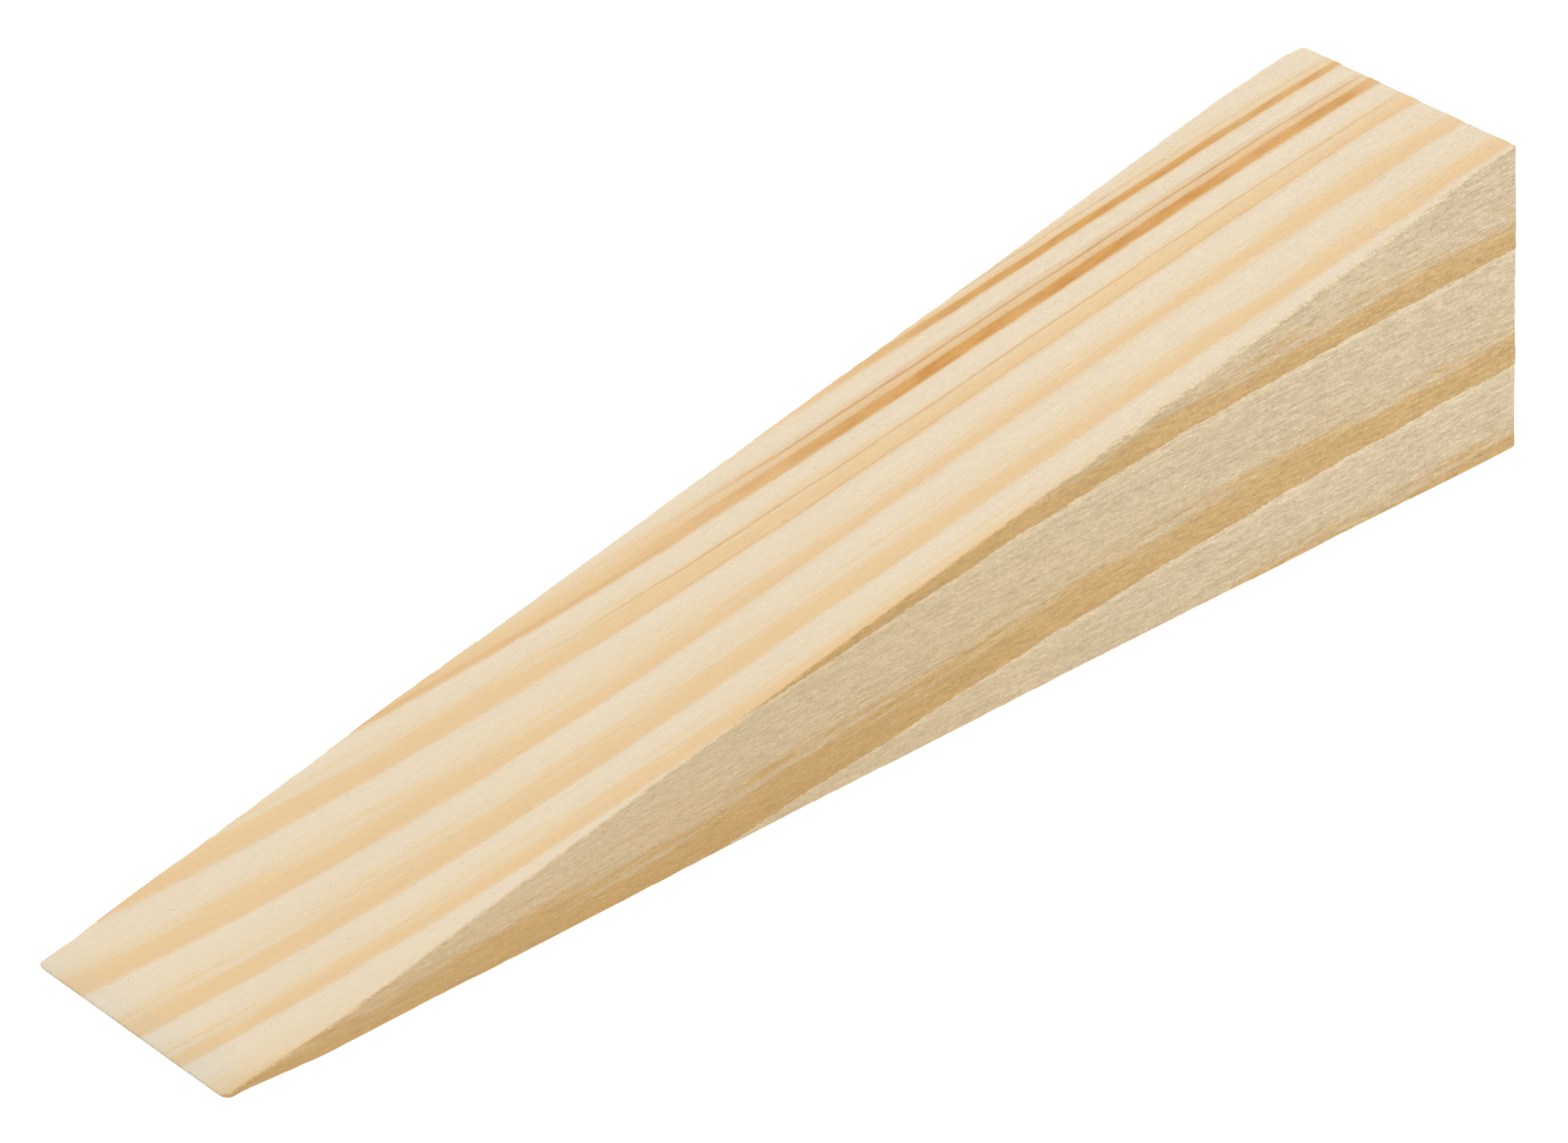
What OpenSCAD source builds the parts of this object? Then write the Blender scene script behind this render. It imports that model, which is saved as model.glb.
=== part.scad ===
// Door wedge, sawn in one piece from a bar of softwood.
// It lies on its flat base: thin end at -X, thick end at +X, base on Z = 0, sides at -Y and +Y.
// The ramp rises evenly from the thin end and turns a little flatter over its last stretch, the heel.
// All lengths are in millimetres and all angles in degrees.

/* [Wedge] */
// Length from the thin end to the thick end
wedge_length = 120; // [60:1:200]
// Width of the bar that the wedge is sawn from
wedge_width = 22; // [12:0.5:60]
// Height at the thick end
wedge_height = 25; // [12:0.5:40]
// Thickness left at the thin end
tip_thickness = 0.6; // [0.4:0.1:2]

/* [Heel] */
// Length of the flatter stretch at the top of the ramp
heel_length = 8; // [2:0.5:20]
// Slope of that stretch
heel_slope = 10; // [4:0.5:11]

/* [Worn edges] */
// Radius of the top edge of the thick end
crest_radius = 0.8; // [0.4:0.1:2]
// Radius of the two upright edges of the thick end
corner_radius = 0.6; // [0.2:0.1:2]
// Width of the flat worn on the two long edges of the ramp
edge_flat = 0.6; // [0.2:0.1:1.5]

/* [Hidden] */

tip_x = -wedge_length / 2;
back_x = wedge_length / 2;
side_y = wedge_width / 2;

// Centre of the crest's arc, which touches the full height, the heel and the back face.
crest_x = back_x - crest_radius;
crest_z = wedge_height - crest_radius;

// The heel's surface is tangent to the arc. These are its height where the ramp
// ends and its height at the back face, if the crest were left sharp.
heel_x = back_x - heel_length;
heel_z = crest_z + crest_radius / cos(heel_slope) - (crest_x - heel_x) * tan(heel_slope);
sharp_z = heel_z + heel_length * tan(heel_slope);
ramp_slope = atan((heel_z - tip_thickness) / (heel_x - tip_x));

// Material beyond the wedge on every side that the cutting shapes reach through.
margin = 5;
arc_fn = 64;

// Side outline with a sharp crest, as X and Z.
module sharp_outline() {
    polygon([
        [tip_x, 0],
        [back_x, 0],
        [back_x, sharp_z],
        [heel_x, heel_z],
        [tip_x, tip_thickness]
    ]);
}

// The sliver that rounding the crest takes off, as X and Z.
module crest_sliver() {
    difference() {
        polygon([
            [crest_x, crest_z],
            [crest_x - margin * sin(heel_slope), crest_z + margin * cos(heel_slope)],
            [back_x + margin, wedge_height + margin],
            [back_x + margin, crest_z]
        ]);
        translate([crest_x, crest_z])
            circle(r = crest_radius, $fn = arc_fn);
    }
}

// The bar sawn to its side outline.
module sawn_bar() {
    rotate([90, 0, 0])
        linear_extrude(wedge_width, center = true)
            difference() {
                sharp_outline();
                crest_sliver();
            }
}

// Outline from above: square at the thin end, round corners at the thick end.
module plan_outline() {
    corner_x = back_x - corner_radius;
    corner_y = side_y - corner_radius;
    translate([tip_x, -side_y])
        square([corner_x - tip_x, wedge_width]);
    translate([tip_x, -corner_y])
        square([wedge_length, 2 * corner_y]);
    for (side = [-1, 1])
        translate([corner_x, side * corner_y])
            circle(r = corner_radius, $fn = arc_fn);
}

// A bar laid along one long edge of the ramp or heel, through [x, z] at the given slope.
// Its lower face is tilted 45 degrees outwards and leaves a flat as wide as edge_flat.
module edge_plane(side, x, z, slope) {
    translate([x, side * side_y, z])
        rotate([0, -slope, 0])
            rotate([-side * 45, 0, 0])
                translate([-2 * wedge_length, -margin, -edge_flat / 2])
                    cube([4 * wedge_length, 2 * margin, margin]);
}

// The whole wedge.
module wedge() {
    color("burlywood")
        difference() {
            intersection() {
                sawn_bar();
                translate([0, 0, -margin])
                    linear_extrude(wedge_height + 2 * margin)
                        plan_outline();
            }
            for (side = [-1, 1]) {
                edge_plane(side, tip_x, tip_thickness, ramp_slope);
                edge_plane(side, heel_x, heel_z, heel_slope);
            }
        }
}

wedge();
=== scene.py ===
"""A softwood door wedge: one sawn bar of pine, its grain, worn edges and raised fibres.

Lengths in this file are millimetres in the part's own frame until a mesh is made.
X runs from the thin tip to the thick end, Y from the near side to the far side, Z up.
"""

import itertools
import math

import bpy
import numpy as np
from mathutils import Matrix, Vector


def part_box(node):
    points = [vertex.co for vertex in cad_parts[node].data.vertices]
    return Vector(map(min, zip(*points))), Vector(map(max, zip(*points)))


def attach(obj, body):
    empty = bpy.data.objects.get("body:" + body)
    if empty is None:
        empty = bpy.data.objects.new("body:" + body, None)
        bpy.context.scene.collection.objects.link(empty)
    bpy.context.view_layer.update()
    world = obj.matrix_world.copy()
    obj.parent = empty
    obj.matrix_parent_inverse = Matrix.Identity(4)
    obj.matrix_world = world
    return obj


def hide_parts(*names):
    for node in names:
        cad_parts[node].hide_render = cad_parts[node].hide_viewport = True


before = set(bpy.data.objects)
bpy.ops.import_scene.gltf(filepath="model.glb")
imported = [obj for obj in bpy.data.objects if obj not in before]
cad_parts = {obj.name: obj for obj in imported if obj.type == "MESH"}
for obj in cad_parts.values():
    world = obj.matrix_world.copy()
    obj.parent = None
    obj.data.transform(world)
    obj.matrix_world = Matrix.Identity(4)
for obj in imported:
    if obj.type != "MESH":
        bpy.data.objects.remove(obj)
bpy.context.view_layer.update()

MM = 0.001
LOW, HIGH = (np.array(corner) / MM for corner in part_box("wedge"))
LENGTH, WIDTH, HEIGHT = HIGH - LOW
HALF_LENGTH, HALF_WIDTH = LENGTH / 2, WIDTH / 2
TIP_THICKNESS = 0.25  # the tip is planed thinner than its square CAD edge
SKIN = 0.03  # how far the wood stays inside the CAD box
FLOOR_GAP = 0.02  # keeps the floor clear of the base


# ---------------------------------------------------------------- helpers for numbers


def smooth(x, start, end):
    """0 before start, 1 after end, with a smooth rise between."""
    t = np.clip((np.asarray(x, float) - start) / (end - start), 0, 1)
    return t * t * (3 - 2 * t)


def lattice_noise(points, cell, seed):
    """Smooth noise from -1 to 1, with random values on a lattice whose cells have the given size."""
    size = 64
    values = np.random.default_rng(seed).uniform(-1, 1, (size, size, size))
    scaled = np.asarray(points, float) / np.asarray(cell, float)
    corner = np.floor(scaled).astype(int)
    part = scaled - corner
    part = part * part * (3 - 2 * part)
    total = np.zeros(len(scaled))
    for step in itertools.product((0, 1), repeat=3):
        weight = np.prod(np.where(step, part, 1 - part), axis=1)
        i, j, k = ((corner + step) % size).T
        total += weight * values[i, j, k]
    return total


def graded(length, first, step, growth=1.5):
    """Positions from 0 to length, close together at both ends and about a step apart between."""
    rises = [0.0]
    gap = first
    while gap < step:
        rises.append(rises[-1] + gap)
        gap *= growth
    middle = length - 2 * rises[-1]
    count = max(2, round(middle / step))
    inner = rises[-1] + middle * np.arange(1, count) / count
    return np.concatenate([rises, inner, length - np.array(rises[::-1])])


# ---------------------------------------------------------------- the wedge's shape


def ramp_height(x, y):
    """Height of the worn top face. It is a little twisted, and eases off over the heel."""
    along = (x + HALF_LENGTH) / LENGTH
    far = (y + HALF_WIDTH) / WIDTH
    straight = TIP_THICKNESS + (HEIGHT - TIP_THICKNESS) * along
    far_rise = 0.20 * smooth(x, -42, -28) + 0.22 * smooth(x, 28, 52)
    near_rise = 0.10 * smooth(x, -50, -30) - 0.12 * smooth(x, -6, 8) - 0.10 * smooth(x, 18, 42)
    near_rise = near_rise + 0.50 * smooth(x, 50, 56)
    ramp = straight + near_rise + (far_rise - near_rise) * far
    heel = HEIGHT - SKIN - 0.150 * (HALF_LENGTH - 0.4 - x)
    softness = 0.12
    return -softness * np.log(np.exp(-ramp / softness) + np.exp(-heel / softness))


def base_height(x):
    """The bar has dried a little hollow, so its base touches the floor near both ends."""
    return 0.22 * np.sin(math.pi * (x + HALF_LENGTH) / LENGTH)


def edge_radius(x, y, z_share):
    """Radius of the worn edge nearest to a point of the sharp wedge."""
    far = (y + HALF_WIDTH) / WIDTH
    near_top = 0.22 + 0.18 * smooth(x, 15, 25) * (1 - smooth(x, 52, 56))
    far_top = 0.40 + 0.45 * smooth(x, 57, 60)
    top = near_top + (far_top - near_top) * far
    bottom = 0.25
    return bottom + (top - bottom) * z_share


def tip_line(y):
    """How far the tip's edge stands back: it is cut askew, with small round corners."""
    skew = 1.1 * (y + HALF_WIDTH) / WIDTH
    near = np.clip(1 - (y + HALF_WIDTH) / 0.8, 0, 1)
    far = np.clip(1 - (HALF_WIDTH - y) / 0.9, 0, 1)
    near_round = 0.8 * (1 - np.sqrt(1 - near**2))
    far_round = 0.3 * (1 - np.sqrt(1 - far**2))
    return skew + near_round + far_round


def wedge_surface(x, y, z_share):
    """Maps points of a sharp box onto the worn wedge. z_share runs from 0, the base, to 1, the top."""
    base = base_height(x)
    height = ramp_height(x, y) - base
    radius = np.minimum(edge_radius(x, y, z_share), 0.45 * height)
    sharp = np.stack([x, y, z_share * height], axis=1)
    margin = np.stack([radius] * 3, axis=1)
    lowest = np.stack([np.full_like(x, -HALF_LENGTH), np.full_like(x, -HALF_WIDTH), 0 * x], axis=1)
    highest = np.stack([np.full_like(x, HALF_LENGTH), np.full_like(x, HALF_WIDTH), height], axis=1)
    core = np.clip(sharp, lowest + margin, highest - margin)
    offset = sharp - core
    span = np.maximum(np.linalg.norm(offset, axis=1, keepdims=True), 1e-9)
    point = core + offset / span * margin
    point[:, 2] += base
    fade = np.clip(1 - (x + HALF_LENGTH) / 12, 0, 1) ** 2
    point[:, 0] += tip_line(point[:, 1]) * fade
    near = np.clip(0.5 - point[:, 1] / WIDTH, 0, 1)
    point[:, 1] += 0.55 * (1 - smooth(x, -HALF_LENGTH, -HALF_LENGTH + 9)) * near
    return point


# ---------------------------------------------------------------- growth rings

# A good year adds 5 mm and a poor one 3.5. A ring's edge is where the year's dark latewood ends.
INNERMOST_EDGE = 17.5
YEAR_GROWTH = [4, 4, 4, 3.5, 3.5, 4, 4.5, 3.5, 5, 4.5, 4.5]
RING_EDGES = [INNERMOST_EDGE + grown for grown in itertools.accumulate(YEAR_GROWTH, initial=0)]
AMBER_RING, RESIN_RING, HAIRLINE_RING, QUIET_RING = RING_EDGES[3:7]  # the first three hold resin
LATEWOOD = [1.3, 1.3, 0.9, 0.9, 1.2, 1.3, 1.1, 1.4, 0.9, 1.7, 1.4, 1.4]  # its width in each year
LATEWOOD_START = 0.66  # the share of a year's growth at which latewood starts
PITH_Y, PITH_Z, PITH_RISE = 32.5, 34.5, 0.06  # the pith runs past the far top edge


def growth(points):
    """Distance from the tree's pith. The rings sway along the bar, the outer ones differently."""
    x, y, z = points.T
    radius = np.hypot(y - PITH_Y, z - PITH_Z - PITH_RISE * x)
    turn = math.pi * (x + HALF_LENGTH) / LENGTH
    radius = radius - 0.7 * np.sin(turn) - 1.0 * np.sin(2 * turn)
    outer = smooth(radius, HAIRLINE_RING + 1.3, QUIET_RING + 1.5)
    return radius + (0.65 * outer - 0.35) * np.sin(2 * math.pi * x / 96 + 0.3 + 2.2 * outer)


def ring_number(radius):
    """Whole numbers where latewood ends, and the share of the year's growth between them."""
    ends = np.array(RING_EDGES)
    starts = ends - LATEWOOD
    years = np.arange(len(ends))
    knots = np.stack([starts, ends], axis=1).ravel()
    shares = np.stack([years - 1 + LATEWOOD_START, years], axis=1).ravel()
    return np.interp(radius, knots, shares)


# ---------------------------------------------------------------- meshes


def new_object(name, vertices, faces, material, rounded=True):
    """A mesh object from vertices in millimetres, shaded smooth if it is rounded."""
    mesh = bpy.data.meshes.new(name)
    mesh.from_pydata((np.asarray(vertices) * MM).tolist(), [], [list(f) for f in faces])
    mesh.materials.append(material)
    if rounded:
        mesh.shade_smooth()
    mesh.update()
    thing = bpy.data.objects.new(name, mesh)
    bpy.context.scene.collection.objects.link(thing)
    return thing


def put_attribute(mesh, name, values):
    """Stores one number per vertex for the material to read."""
    attribute = mesh.attributes.new(name, "FLOAT", "POINT")
    attribute.data.foreach_set("value", np.asarray(values, np.float32))


def box_grid(xs, ys, zs):
    """Vertices and quads of a box's surface, with the given grid lines."""
    counts = (len(xs), len(ys), len(zs))
    lines = (xs, ys, zs)
    index, vertices, faces = {}, [], []

    def vertex(cell):
        if cell not in index:
            index[cell] = len(vertices)
            vertices.append([lines[axis][cell[axis]] for axis in range(3)])
        return index[cell]

    for axis in range(3):
        first, second = (axis + 1) % 3, (axis + 2) % 3
        for end in (0, counts[axis] - 1):
            for i, j in itertools.product(range(counts[first] - 1), range(counts[second] - 1)):
                corners = [(i, j), (i + 1, j), (i + 1, j + 1), (i, j + 1)]
                quad = []
                for a, b in corners if end else corners[::-1]:
                    cell = [0, 0, 0]
                    cell[axis], cell[first], cell[second] = end, a, b
                    quad.append(vertex(tuple(cell)))
                faces.append(quad)
    return np.array(vertices), faces


def relief(points, normals):
    """How far the wood's own relief stands out: hard latewood proud, soft earlywood brushed down."""
    phase = ring_number(growth(points)) % 1
    ridge = smooth(phase, 0.45, 0.75) * (1 - smooth(phase, 0.96, 1.0)) - 0.5
    sawn = smooth(np.abs(normals[:, 1]), 0.5, 0.9)
    grain = lattice_noise(points, (7, 0.55, 0.55), 11) + 0.6 * lattice_noise(points, (3, 0.45, 0.45), 12)
    lumps = lattice_noise(points, (9, 4, 4), 13)
    edge = smooth(1 - np.abs(normals).max(axis=1), 0.02, 0.2)
    nicks = smooth(lattice_noise(points, (0.8, 0.8, 0.8), 14), 0.0, 0.7)
    return (
        0.030 * ridge * (1 - 0.4 * sawn)
        + 0.007 * grain
        + 0.040 * lumps
        - 0.070 * edge * nicks
    )


def make_wedge(material):
    """The bar itself, as one closed mesh."""
    xs = graded(LENGTH, 0.07, 0.40) - HALF_LENGTH
    ys = graded(WIDTH, 0.04, 0.33) - HALF_WIDTH
    shares = graded(HEIGHT, 0.04, 0.62) / HEIGHT
    grid, faces = box_grid(xs, ys, shares)
    points = wedge_surface(*grid.T)
    wedge = new_object("pine_wedge", points, faces, material)
    normals = np.zeros(len(points) * 3)
    wedge.data.vertices.foreach_get("normal", normals)
    normals = normals.reshape(-1, 3)
    height = ramp_height(points[:, 0], points[:, 1])
    thin = smooth(height, 0.3, 2.0)
    points = points + normals * (relief(points, normals) * (0.15 + 0.85 * thin))[:, None]
    points = np.clip(points, LOW + [SKIN, SKIN, 0.0], HIGH - SKIN)
    wedge.data.vertices.foreach_set("co", (points * MM).ravel())
    wedge.data.update()
    radius = growth(points)
    put_attribute(wedge.data, "growth", radius)
    put_attribute(wedge.data, "ring", ring_number(radius))
    put_attribute(wedge.data, "side", smooth(np.abs(normals[:, 1]), 0.10, 0.42))
    # worn marks the rounded edges, where the colour is painted paler: partly the wood's wear, partly a
    # painted highlight along the edges.
    put_attribute(wedge.data, "worn", smooth(1 - np.abs(normals).max(axis=1), 0.02, 0.25))
    put_attribute(wedge.data, "end", smooth(normals[:, 0], 0.45, 0.85))
    put_attribute(wedge.data, "below", smooth(-normals[:, 2], 0.25, 0.80))
    return wedge


# ---------------------------------------------------------------- raised fibres


def splinter(root, along, out, length, width, lift):
    """A torn fibre: a closed sliver that starts in the wood and ends free. Returns its five points."""
    across = np.cross(out, along)
    middle = root + along * length * 0.5 + out * lift * 0.8
    end = root + along * length + out * lift
    start = root - out * width * 0.3
    ring = [middle + across * width / 2, middle + out * width * 0.3, middle - across * width / 2]
    return [start, *ring, end]


SPLINTER_FACES = [(0, 2, 1), (0, 3, 2), (0, 1, 3), (4, 1, 2), (4, 2, 3), (4, 3, 1)]


def fibre_places(rng):
    """Where fibres stand up: (x, y, share of height, outward direction, longest, widest)."""
    places = []

    def scatter(count, pick, out, longest, widest):
        for _ in range(count):
            places.append((*pick(), np.array(out, float), longest, widest))

    def along_bar():
        return HALF_LENGTH * (1 - 2 * rng.random() ** 1.35)

    def across_bar():
        return rng.uniform(-0.97, 0.97) * HALF_WIDTH

    def up_the_side():
        return LENGTH * math.sqrt(rng.uniform(0.02, 1)) - HALF_LENGTH

    scatter(520, lambda: (along_bar(), across_bar(), 1.0), (-0.2, 0, 0.98), 0.40, 0.060)
    scatter(120, lambda: (along_bar(), across_bar(), 0.0), (0, 0, -1), 0.40, 0.060)
    for side in (-1, 1):
        scatter(420, lambda: (up_the_side(), side * HALF_WIDTH, rng.random()), (0, side, 0), 0.45, 0.060)
        scatter(60, lambda: (up_the_side(), side * HALF_WIDTH, rng.random()), (0, side, 0), 2.2, 0.070)
        edge_out = (0, side * 0.7, 0.7)
        scatter(150, lambda: (along_bar(), side * (HALF_WIDTH - 0.1), 0.995), edge_out, 0.35, 0.06)
    scatter(60, lambda: (HALF_LENGTH - 0.1, across_bar(), 0.99), (0.7, 0, 0.7), 0.30, 0.06)
    return places


def make_fibres(material):
    """All the raised fibres as one mesh of closed slivers."""
    rng = np.random.default_rng(5)
    vertices, faces = [], []
    for x, y, share, out, longest, widest in fibre_places(rng):
        root = wedge_surface(np.array([x]), np.array([y]), np.array([share]))[0]
        length = longest * rng.uniform(0.35, 1.0)
        lean = rng.normal(0, 0.5 if longest < 1 else 0.04)
        along = np.array([math.cos(lean), math.sin(lean) * out[2], math.sin(lean) * abs(out[1])])
        along = along * rng.choice([-1, 1]) - out * out.dot(along)
        along /= np.linalg.norm(along)
        width = widest * rng.uniform(0.5, 1.0)
        lift = width * rng.uniform(0.1, 0.5)
        if not LOW[0] + 1 < root[0] + along[0] * length < HIGH[0] - SKIN:
            continue
        start = len(vertices)
        vertices += splinter(root, along, out, length, width, lift)
        faces += [[start + i for i in face] for face in SPLINTER_FACES]
    points = np.array(vertices)
    points[:, 2] = np.maximum(points[:, 2], 0.0)
    fibres = new_object("raised_fibres", points, faces, material, rounded=False)
    radius = growth(points)
    put_attribute(fibres.data, "growth", radius)
    put_attribute(fibres.data, "ring", ring_number(radius))
    return fibres


# ---------------------------------------------------------------- materials


def linear(red, green, blue):
    """A colour given as 0 to 255 screen values, as linear light."""
    def channel(value):
        share = value / 255
        return share / 12.92 if share <= 0.04045 else ((share + 0.055) / 1.055) ** 2.4
    return tuple(channel(v) for v in (red, green, blue))


class Tree:
    """Builds a material's nodes, one call per node.

    An input is a number, a tuple or another node's output.
    """

    def __init__(self, material):
        material.use_nodes = True
        self.nodes = material.node_tree.nodes
        self.links = material.node_tree.links
        self.nodes.clear()

    def add(self, kind, inputs=(), output=0, **settings):
        node = self.nodes.new(kind)
        for name, value in settings.items():
            setattr(node, name, value)
        for name, value in dict(inputs).items():
            self.plug(node.inputs[name], value)
        return node.outputs[output]

    def plug(self, socket, value):
        if isinstance(value, bpy.types.NodeSocket):
            self.links.new(value, socket)
        else:
            socket.default_value = value

    def math(self, operation, a, b=0.0, clamp=False):
        node = self.nodes.new("ShaderNodeMath")
        node.operation = operation
        node.use_clamp = clamp
        self.plug(node.inputs[0], a)
        self.plug(node.inputs[1], b)
        return node.outputs[0]

    def sum(self, *terms):
        total = terms[0]
        for term in terms[1:]:
            total = self.math("ADD", total, term)
        return total

    def product(self, *terms):
        total = terms[0]
        for term in terms[1:]:
            total = self.math("MULTIPLY", total, term)
        return total

    def fade(self, value, start, end, low=0.0, high=1.0):
        """A smooth change from low at start to high at end."""
        return self.add(
            "ShaderNodeMapRange",
            {"Value": value, "From Min": start, "From Max": end, "To Min": low, "To Max": high},
            interpolation_type="SMOOTHSTEP",
        )

    def window(self, value, start, end, soft):
        """1 between start and end, 0 outside, with soft flanks."""
        rise = self.fade(value, start - soft / 2, start + soft / 2)
        fall = self.fade(value, end - soft / 2, end + soft / 2, 1.0, 0.0)
        return self.product(rise, fall)

    def noise(self, place, stretch, scale, detail=2.0, roughness=0.5):
        """Noise about 0, its features stretched along the bar. scale is features per millimetre."""
        scaled = self.add(
            "ShaderNodeVectorMath", {0: place, 1: (scale / stretch, scale, scale)}, operation="MULTIPLY"
        )
        value = self.add(
            "ShaderNodeTexNoise",
            {"Vector": scaled, "Scale": 1.0, "Detail": detail, "Roughness": roughness},
        )
        return self.math("SUBTRACT", value, 0.5)

    def mix(self, share, a, b, blend="MIX"):
        node = self.nodes.new("ShaderNodeMix")
        node.data_type = "RGBA"
        node.blend_type = blend
        self.plug(node.inputs[0], share)
        for socket, value in ((node.inputs[6], a), (node.inputs[7], b)):
            self.plug(socket, value if isinstance(value, bpy.types.NodeSocket) else (*value, 1.0))
        return node.outputs[2]

    def along(self, x, start, end, low, high):
        """A colour that changes smoothly along the bar, from low at start to high at end."""
        channels = [self.fade(x, start, end, a, b) for a, b in zip(low, high)]
        return self.add("ShaderNodeCombineColor", dict(enumerate(channels)))

    def ramp(self, value, stops):
        """A colour ramp from (position, colour) pairs."""
        node = self.nodes.new("ShaderNodeValToRGB")
        elements = node.color_ramp.elements
        while len(elements) < len(stops):
            elements.new(0.5)
        for element, (position, colour) in zip(elements, stops):
            element.position = position
            element.color = (*colour, 1.0)
        self.plug(node.inputs[0], value)
        return node.outputs[0]


def lit(colour, light):
    """The surface colour that shows as the given screen colour under that much light."""
    return tuple(channel / light for channel in linear(*colour))


# How much light each face gets. It turns the screen colours below into surface colours.
TOP_LIGHT = 1.04
SIDE_LIGHT = 0.81

# Screen colours of the planed top and the sawn sides through one year's growth. The sides' colours are
# partly the sawn wood's own tan and partly painted shade: they are deeper and darker than the light
# alone makes them, for the micro-shadows in their rough fibres.
TOP_YEAR = [
    (0.00, (234, 210, 172)),
    (0.06, (236, 218, 189)),
    (0.25, (236, 219, 190)),
    (0.40, (236, 217, 186)),
    (0.53, (235, 213, 176)),
    (0.66, (233, 204, 160)),
    (0.74, (232, 200, 153)),
    (0.95, (232, 199, 151)),
    (1.00, (233, 204, 162)),
]
SAWN_YEAR_WITH_PAINTED_SHADE = [
    (0.000, (224, 203, 165)),
    (0.018, (222, 201, 165)),
    (0.040, (215, 193, 156)),
    (0.45, (214, 191, 153)),
    (0.56, (211, 185, 144)),
    (0.66, (205, 173, 123)),
    (0.72, (201, 165, 111)),
    (0.985, (200, 163, 108)),
]
RESIN = (215, 160, 84)
DARK_RESIN = (201, 140, 66)


def resin_streaks(tree, radius, x, patchy):
    """Share of resin colour: bands and hairlines just inside the year's edge, fading along the bar."""
    streaks = [
        # ring edge, from, to (millimetres before the edge), softness, strength, starts at x, full at x
        (AMBER_RING, 0.02, 0.62, 0.20, 0.95, 8, 30),
        (AMBER_RING, 1.10, 1.30, 0.15, 0.30, 14, 30),
        (RESIN_RING, 0.02, 0.95, 0.35, 1.00, -16, 18),
        (RESIN_RING, 0.90, 2.00, 0.40, 0.26, -14, 20),
        (RESIN_RING, 1.45, 1.68, 0.16, 0.80, -12, 14),
        (RESIN_RING, 1.95, 2.08, 0.16, 0.35, 4, 30),
        (RESIN_RING, 0.02, 0.45, 0.30, 0.35, -48, -20),
        (HAIRLINE_RING, 1.38, 1.54, 0.14, 0.50, -22, -4),
        (HAIRLINE_RING, 0.00, 0.18, 0.12, 0.30, -22, -4),
    ]
    total = None
    for edge, nearest, furthest, soft, strength, start, full in streaks:
        before = tree.math("SUBTRACT", edge, radius)
        band = tree.window(before, nearest, furthest, soft)
        share = tree.product(band, tree.fade(x, start, full), strength)
        total = share if total is None else tree.math("MAXIMUM", total, share)
    worn_end = tree.product(
        tree.fade(x, 38.0, 52.0, 1.0, 0.85), tree.fade(x, HALF_LENGTH - 3.0, HALF_LENGTH - 0.6, 1.0, 0.6)
    )
    return tree.product(total, tree.fade(patchy, -0.35, 0.10, 0.65, 1.0), worn_end)


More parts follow.
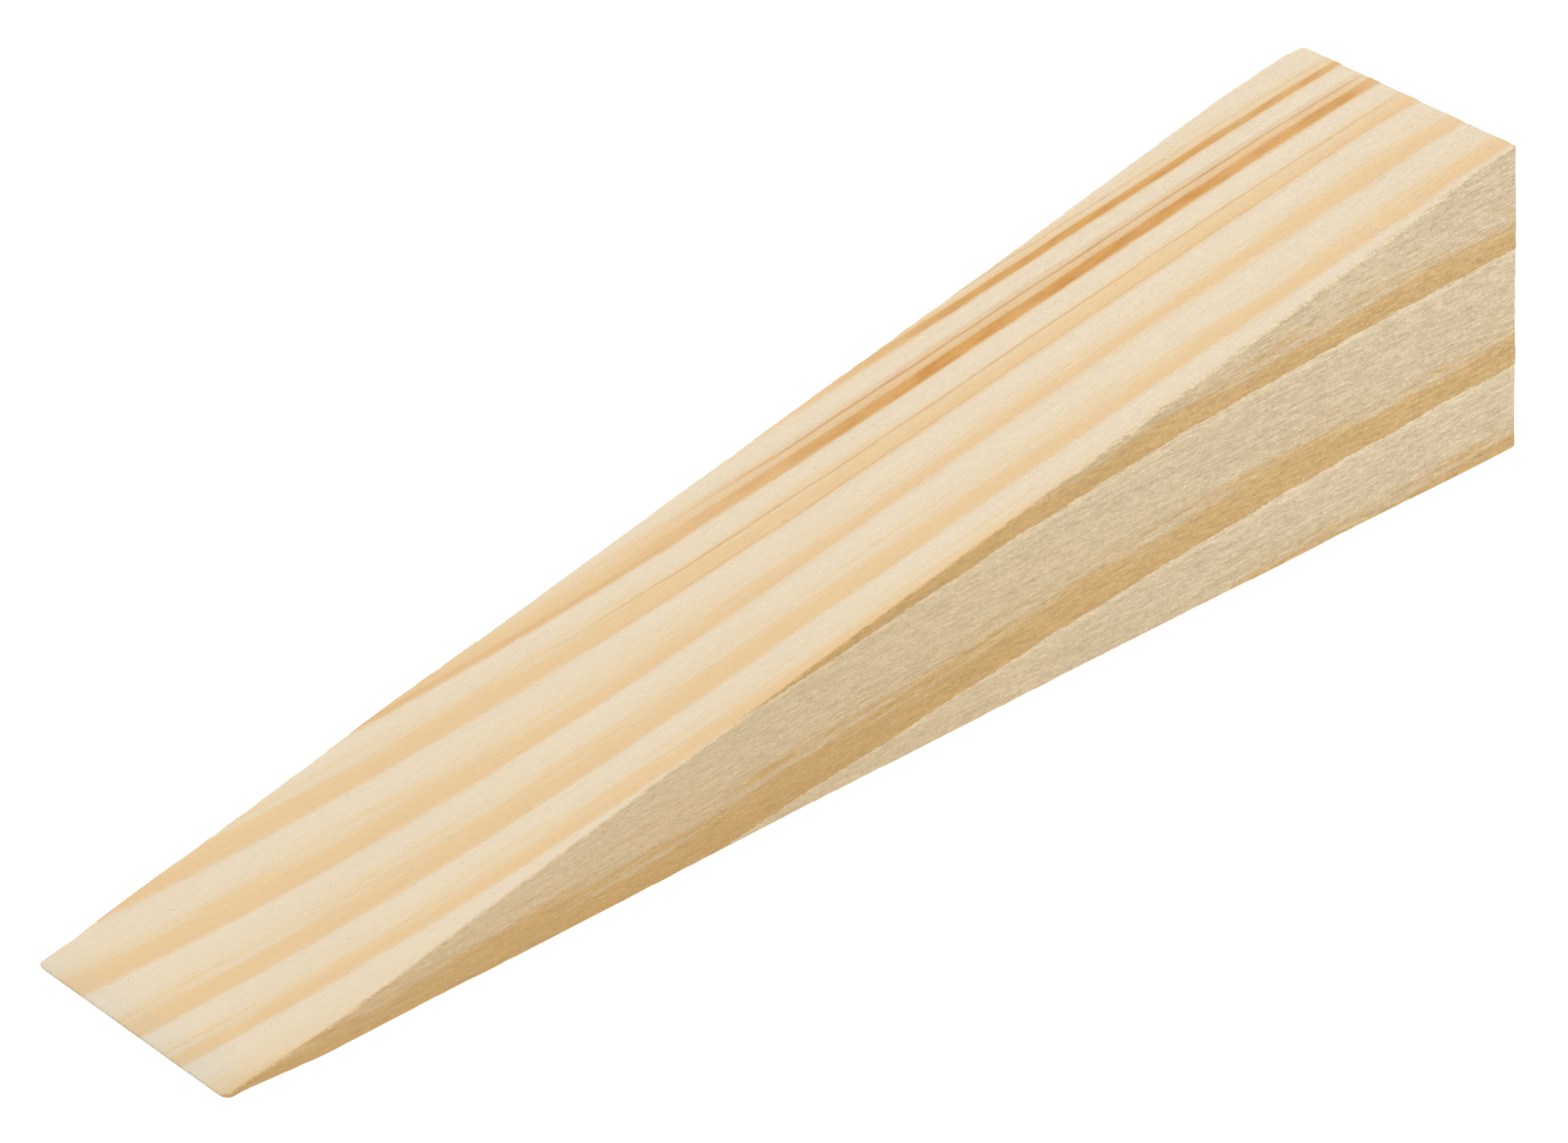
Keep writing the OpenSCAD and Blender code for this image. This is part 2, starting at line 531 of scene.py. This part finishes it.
def pine():
    """Pale pine: yearly rings, resin streaks, sawn and planed faces, end grain, tiny specks."""
    material = bpy.data.materials.new("pine")
    tree = Tree(material)
    place = tree.add("ShaderNodeTexCoord", output="Object")
    place = tree.add("ShaderNodeVectorMath", {0: place, 1: (1 / MM,) * 3}, operation="MULTIPLY")
    split = tree.add("ShaderNodeSeparateXYZ", {0: place}).node
    x, y, z = split.outputs[0], split.outputs[1], split.outputs[2]

    def attribute(name):
        return tree.add("ShaderNodeAttribute", attribute_name=name, output="Fac")

    end, below = attribute("end"), attribute("below")
    frayed = tree.product(tree.noise(place, 2.5, 3.5, detail=3.0), 1.6)
    side = tree.fade(tree.sum(attribute("side"), tree.product(attribute("side"), frayed)), 0.15, 0.75)
    rough = tree.math("MAXIMUM", side, tree.product(below, 0.7))

    # The year's edge wanders and is ragged where fibres end. Dark bands narrow toward the thick end.
    wander = tree.product(tree.noise(place, 5.0, 0.8, detail=3.0), 0.25)
    ragged = tree.noise(place, 1.5, 3.0, detail=3.0)
    ragged = tree.product(ragged, tree.fade(rough, 0.0, 1.0, 0.25, 0.20))
    radius = tree.sum(attribute("growth"), wander)
    number = tree.sum(attribute("ring"), tree.product(tree.sum(wander, ragged), 0.24))
    narrowing = tree.fade(x, -25.0, 40.0, 0.93, tree.fade(rough, 0.0, 1.0, 1.20, 1.36))
    phase = tree.math("POWER", tree.math("FRACT", number), narrowing)

    # Within a year the wood darkens in thin streaks that follow the ring.
    ring_place = tree.add(
        "ShaderNodeCombineXYZ", {0: tree.product(x, 0.07), 1: tree.product(radius, 2.8)}
    )
    streak = tree.add(
        "ShaderNodeTexNoise", {"Vector": ring_place, "Scale": 1.0, "Detail": 3.0, "Roughness": 0.65}
    )
    streak = tree.math("SUBTRACT", streak, 0.5)
    phase = tree.sum(phase, tree.product(streak, tree.window(phase, 0.25, 0.85, 0.3), 1.1))

    # The top is a little paler toward the thick end. The side's brightening toward the thick end is
    # painted light: light that falls off toward the tip, painted into its colour.
    top_tone = tree.along(x, -45, 45, (0.98, 0.975, 0.97), (1.0, 1.0, 1.01))
    side_painted_light_falloff = tree.along(x, -25, 60, (0.985, 0.965, 0.94), (1.10, 1.13, 1.19))
    top_colour = tree.ramp(phase, [(p, lit(c, TOP_LIGHT)) for p, c in TOP_YEAR])
    sawn_colour_with_painted_shade = tree.ramp(phase, [(p, lit(c, SIDE_LIGHT)) for p, c in SAWN_YEAR_WITH_PAINTED_SHADE])
    top_colour = tree.mix(1.0, top_colour, top_tone, "MULTIPLY")
    sawn_colour_with_painted_shade = tree.mix(1.0, sawn_colour_with_painted_shade, side_painted_light_falloff, "MULTIPLY")
    # The sawn sides and the base take the side palette, which holds painted shade.
    colour = tree.mix(rough, top_colour, sawn_colour_with_painted_shade)

    # Broad drifts of tone, lines of fibre, saw scratches, and bright specks painted as highlights where
    # torn fibres catch the light.
    drift = tree.noise(place, 6.0, 0.12, detail=2.0)
    lines = tree.noise(place, 14.0, 2.6, detail=3.0, roughness=0.6)
    scratches = tree.noise(place, 8.0, 5.5, detail=3.0, roughness=0.65)
    scratches = tree.fade(scratches, -0.16, 0.16, -0.5, 0.5)
    grit = tree.fade(tree.noise(place, 1.5, 3.8, detail=4.0, roughness=0.8), -0.18, 0.18, -0.5, 0.5)
    # Painted highlights: sparse bright dots where torn fibres catch the light.
    specks = tree.fade(tree.noise(place, 2.0, 5.0, detail=1.0), 0.15, 0.25)
    coarse = tree.fade(x, -HALF_LENGTH, HALF_LENGTH, 0.5, 1.2)
    texture = tree.sum(
        tree.product(lines, tree.fade(rough, 0.0, 1.0, 0.08, 0.20)),
        tree.product(scratches, tree.fade(rough, 0.0, 1.0, 0.01, 0.16)),
        tree.product(grit, tree.fade(rough, 0.0, 1.0, 0.065, 0.16)),
        tree.product(specks, tree.fade(rough, 0.0, 1.0, 0.04, 0.16)),
    )
    shade = tree.sum(
        1.0,
        tree.product(drift, 0.05),
        tree.product(texture, coarse),
        tree.product(streak, 0.10),
        # Worn edges painted paler: partly the wear of the wood, partly a painted highlight along the
        # edges.
        tree.product(attribute("worn"), tree.fade(grit, -0.4, 0.5, 0.0, 0.12)),
    )

    patchy = tree.noise(place, 9.0, 0.7, detail=3.0, roughness=0.6)
    resin = resin_streaks(tree, radius, x, patchy)
    depth = tree.fade(tree.noise(place, 12.0, 1.6, detail=2.0), -0.2, 0.25)
    resin_colour = tree.mix(depth, lit(RESIN, TOP_LIGHT), lit(DARK_RESIN, TOP_LIGHT))
    colour = tree.mix(resin, colour, resin_colour)

    # End grain drinks in dirt and light, so it is browner, with pores and faint rays.
    across, below_pith = tree.math("SUBTRACT", PITH_Y, y), tree.math("SUBTRACT", PITH_Z, z)
    angle = tree.math("ARCTAN2", across, below_pith)
    ray_place = tree.add(
        "ShaderNodeCombineXYZ", {0: tree.product(angle, 220.0), 1: tree.product(radius, 0.15)}
    )
    rays = tree.add("ShaderNodeTexNoise", {"Vector": ray_place, "Scale": 1.0})
    rays = tree.math("SUBTRACT", rays, 0.5)
    end_tint = tree.mix(phase, (0.84, 0.77, 0.68), (0.72, 0.60, 0.46))
    colour = tree.mix(end, colour, tree.mix(1.0, colour, end_tint, "MULTIPLY"))
    shade = tree.sum(shade, tree.product(rays, end, 0.22), tree.product(grit, end, 0.08))

    # Painted light: the last few millimetres of the thin tip are painted a little cooler in tone, for
    # how light reads through the thin wood and falls off there.
    tip = tree.fade(x, -HALF_LENGTH, -HALF_LENGTH + 4.5, 1.0, 0.0)
    tip_painted_light_tint = tree.mix(1.0, colour, (0.90, 0.96, 1.03), "MULTIPLY")
    colour = tree.mix(tree.product(tip, 0.8), colour, tip_painted_light_tint)

    # Darker wood is also a deeper colour.
    depths = [tree.math("POWER", shade, deeper) for deeper in (1.0, 1.15, 1.4)]
    deepening = tree.add("ShaderNodeCombineColor", dict(enumerate(depths)))
    colour = tree.mix(1.0, colour, deepening, "MULTIPLY")

    # Height of the finest relief, in millimetres.
    pits = tree.noise(place, 1.5, 4.0, detail=4.0, roughness=0.65)
    grooves = tree.noise(place, 8.0, 4.5, detail=4.0, roughness=0.7)
    torn = tree.noise(place, 2.0, 3.5, detail=4.0, roughness=0.7)
    top_relief = tree.product(pits, 0.120)
    side_relief = tree.sum(tree.product(grooves, 0.110), tree.product(torn, 0.160))
    latewood = tree.fade(phase, 0.5, 0.75, 1.0, 0.6)
    height = tree.product(
        tree.sum(
            tree.product(top_relief, tree.math("SUBTRACT", 1.0, rough)),
            tree.product(side_relief, rough),
        ),
        tree.fade(x, -HALF_LENGTH, HALF_LENGTH, 0.8, 1.1),
        latewood,
    )
    bump = tree.add("ShaderNodeBump", {"Height": height, "Distance": MM, "Strength": 1.0})

    sheen = tree.sum(0.62, tree.product(grit, 0.06), tree.product(resin, -0.12))
    shader = tree.add(
        "ShaderNodeBsdfPrincipled",
        {"Base Color": colour, "Roughness": sheen, "Normal": bump, "Specular IOR Level": 0.22},
    )
    out = tree.nodes.new("ShaderNodeOutputMaterial")
    tree.links.new(shader, out.inputs["Surface"])
    return material


def fibre_with_painted_highlight():
    """Torn fibres: painted paler than the wood, a painted highlight so that fibres in the sides' shade
    still look as if they catch the light.
    """
    material = bpy.data.materials.new("fibre_with_painted_highlight")
    tree = Tree(material)
    place = tree.add("ShaderNodeTexCoord", output="Object")
    place = tree.add("ShaderNodeVectorMath", {0: place, 1: (1 / MM,) * 3}, operation="MULTIPLY")
    tone = tree.fade(tree.noise(place, 1.0, 0.7), -0.25, 0.25)
    colour = tree.mix(tone, (0.86, 0.72, 0.53), (1.0, 0.88, 0.69))
    shader = tree.add(
        "ShaderNodeBsdfPrincipled",
        {"Base Color": colour, "Roughness": 0.7, "Specular IOR Level": 0.2},
    )
    out = tree.nodes.new("ShaderNodeOutputMaterial")
    tree.links.new(shader, out.inputs["Surface"])
    return material


# ---------------------------------------------------------------- stage, lights and camera


def make_floor():
    """A plain white lit floor."""
    material = bpy.data.materials.new("floor")
    tree = Tree(material)
    shader = tree.add(
        "ShaderNodeBsdfPrincipled",
        {
            "Base Color": (0.15, 0.15, 0.15, 1.0),
            "Roughness": 1.0,
            "Specular IOR Level": 0.0,
            "Emission Color": (1.0, 1.0, 1.0, 1.0),
            "Emission Strength": 0.94,
        },
    )
    out = tree.nodes.new("ShaderNodeOutputMaterial")
    tree.links.new(shader, out.inputs["Surface"])
    size = 2500
    corners = [(-size, -size, 0), (size, -size, 0), (size, size, 0), (-size, size, 0)]
    floor = new_object("floor", corners, [(0, 1, 2, 3)], material)
    floor.location.z = -FLOOR_GAP * MM


def make_lights():
    """Even white surroundings, and one large soft lamp above the wedge, a little to its far side."""
    world = bpy.data.worlds.new("studio")
    bpy.context.scene.world = world
    world.use_nodes = True
    background = world.node_tree.nodes["Background"]
    background.inputs["Color"].default_value = (1.0, 1.0, 1.0, 1.0)
    background.inputs["Strength"].default_value = 0.58
    lamp = bpy.data.lights.new("softbox", "AREA")
    lamp.shape = "SQUARE"
    lamp.size = 0.7
    lamp.energy = 8.7
    distance = 1.2
    tilt = math.radians(18)
    direction = Vector((0.10, math.sin(tilt), math.cos(tilt))).normalized()
    softbox = bpy.data.objects.new("softbox", lamp)
    softbox.location = direction * distance
    softbox.rotation_mode = "QUATERNION"
    softbox.rotation_quaternion = direction.to_track_quat("Z", "Y")
    bpy.context.scene.collection.objects.link(softbox)


def make_camera():
    """A long lens looking down on the near side from the tip's end."""
    azimuth, elevation, roll = (math.radians(a) for a in (49.32, 31.35, -2.17))
    distance, shift_right, shift_up = 717.2 * MM, 0.96 * MM, -8.99 * MM
    back = Vector(
        (
            -math.cos(elevation) * math.cos(azimuth),
            -math.cos(elevation) * math.sin(azimuth),
            math.sin(elevation),
        )
    )
    level = Vector((0, 0, 1)).cross(back).normalized()
    upright = back.cross(level)
    right = level * math.cos(roll) + upright * math.sin(roll)
    up = upright * math.cos(roll) - level * math.sin(roll)
    camera = bpy.data.objects.new("camera", bpy.data.cameras.new("camera"))
    place = back * distance - right * shift_right - up * shift_up
    turn = Matrix((right, up, back)).transposed().to_4x4()
    camera.matrix_world = Matrix.Translation(place) @ turn
    camera.data.lens = 235.8
    camera.data.clip_start = 0.01
    bpy.context.scene.collection.objects.link(camera)
    bpy.context.scene.camera = camera


make_camera()
make_lights()
make_floor()

wedge = make_wedge(pine())
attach(wedge, "root")
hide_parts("wedge")

fibres = make_fibres(fibre_with_painted_highlight())
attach(fibres, "root")

bpy.context.scene.view_settings.view_transform = "Standard"
